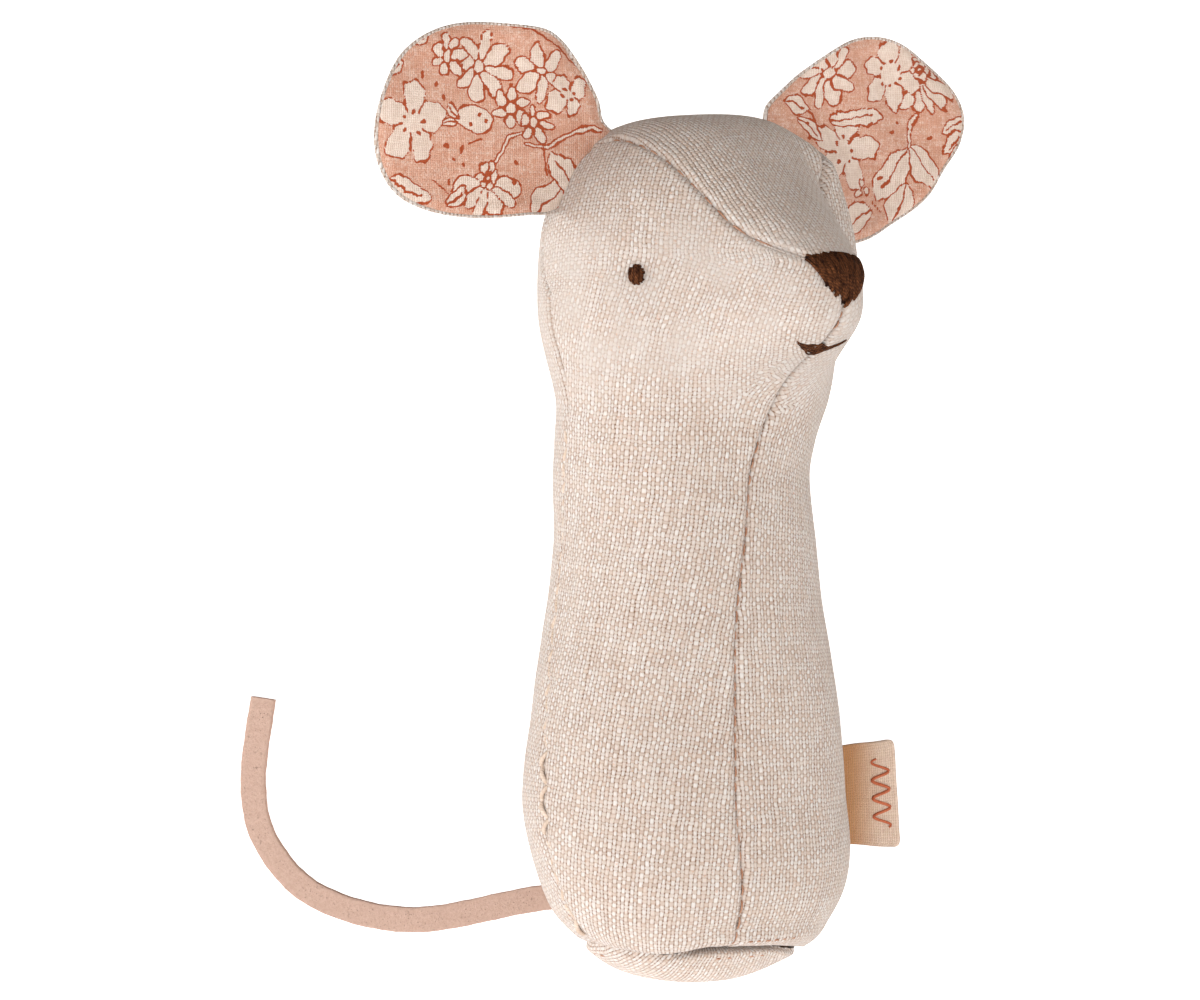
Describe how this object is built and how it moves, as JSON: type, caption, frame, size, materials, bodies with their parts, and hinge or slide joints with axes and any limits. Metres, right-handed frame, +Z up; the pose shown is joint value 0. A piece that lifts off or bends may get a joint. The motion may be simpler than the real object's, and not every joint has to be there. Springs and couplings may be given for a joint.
{
  "type": "mouse hand rattle",
  "caption": "Upright stuffed linen mouse with printed ears, suede tail, stitched face and a rattle capsule inside.",
  "frame": {"origin": "centre of the flat resting face under the base panel", "axes": "+Z up along the body, -Y the way the head faces, -X the mouse's right"},
  "size_m": [0.1126, 0.1052, 0.1502],
  "materials": {
    "linen": "plain woven natural linen",
    "ear_print": "fine cotton with a floral print",
    "filling": "white polyester fibre",
    "embroidery": "satin-stitched cotton",
    "suede": "matt suede",
    "tape": "woven cotton tape",
    "thread": "sewing thread",
    "capsule": "moulded polypropylene",
    "pellet": "hard plastic"
  },
  "bodies": {
    "body": {"front_panel_right": "linen", "front_panel_left": "linen", "back_panel": "linen", "base_panel": "linen", "body_filling_lower": "filling", "body_filling_upper": "filling", "head_filling": "filling", "eye_right": "embroidery", "eye_left": "embroidery", "nose": "embroidery", "mouth": "embroidery", "rattle_shell_lower": "capsule", "rattle_shell_upper": "capsule", "front_seam_thread": "thread", "closing_thread": "thread", "left_seam_thread": "thread", "head_seam_thread_right": "thread", "head_seam_thread_left": "thread", "base_seam_thread": "thread"},
    "ear_right": {"ear_right_front": "ear_print", "ear_right_back": "linen"},
    "ear_left": {"ear_left_front": "ear_print", "ear_left_back": "linen"},
    "tail": {"tail": "suede"},
    "label": {"label": "tape"},
    "pellet_middle": {"pellet_middle": "pellet"},
    "pellet_1": {"pellet_1": "pellet"},
    "pellet_2": {"pellet_2": "pellet"},
    "pellet_3": {"pellet_3": "pellet"},
    "pellet_4": {"pellet_4": "pellet"},
    "pellet_5": {"pellet_5": "pellet"}
  },
  "joints": [
    {"name": "ear_right_fold", "type": "hinge", "parent": "body", "child": "ear_right", "pos_m": [-0.01896, 0.00384, 0.1251], "axis": [0.5516, -0.0874, 0.8295], "range_deg": [-30, 40], "stiffness_Nm_per_rad": 0.01},
    {"name": "ear_left_fold", "type": "hinge", "parent": "body", "child": "ear_left", "pos_m": [0.01895, 0.00409, 0.1251], "axis": [0.5564, -0.0487, -0.8295], "range_deg": [-30, 40], "stiffness_Nm_per_rad": 0.01},
    {"name": "tail_swing", "type": "hinge", "parent": "body", "child": "tail", "pos_m": [0.00661, 0.01768, 0.011], "axis": [0, 0, 1], "range_deg": [-105, 8], "stiffness_Nm_per_rad": 0.001},
    {"name": "label_flip", "type": "hinge", "parent": "body", "child": "label", "pos_m": [0.0258, -0.00841, 0.0278], "axis": [0, 0, 1], "range_deg": [-50, 50], "stiffness_Nm_per_rad": 0.0005},
    {"name": "pellet_middle_slide", "type": "slide", "parent": "body", "child": "pellet_middle", "axis": [0, 0, 1], "range_m": [0, 0.02019]},
    {"name": "pellet_1_slide", "type": "slide", "parent": "body", "child": "pellet_1", "axis": [0, 0, 1], "range_m": [0, 0.01546]},
    {"name": "pellet_2_slide", "type": "slide", "parent": "body", "child": "pellet_2", "axis": [0, 0, 1], "range_m": [0, 0.01546]},
    {"name": "pellet_3_slide", "type": "slide", "parent": "body", "child": "pellet_3", "axis": [0, 0, 1], "range_m": [0, 0.01546]},
    {"name": "pellet_4_slide", "type": "slide", "parent": "body", "child": "pellet_4", "axis": [0, 0, 1], "range_m": [0, 0.01546]},
    {"name": "pellet_5_slide", "type": "slide", "parent": "body", "child": "pellet_5", "axis": [0, 0, 1], "range_m": [0, 0.01546]}
  ]
}
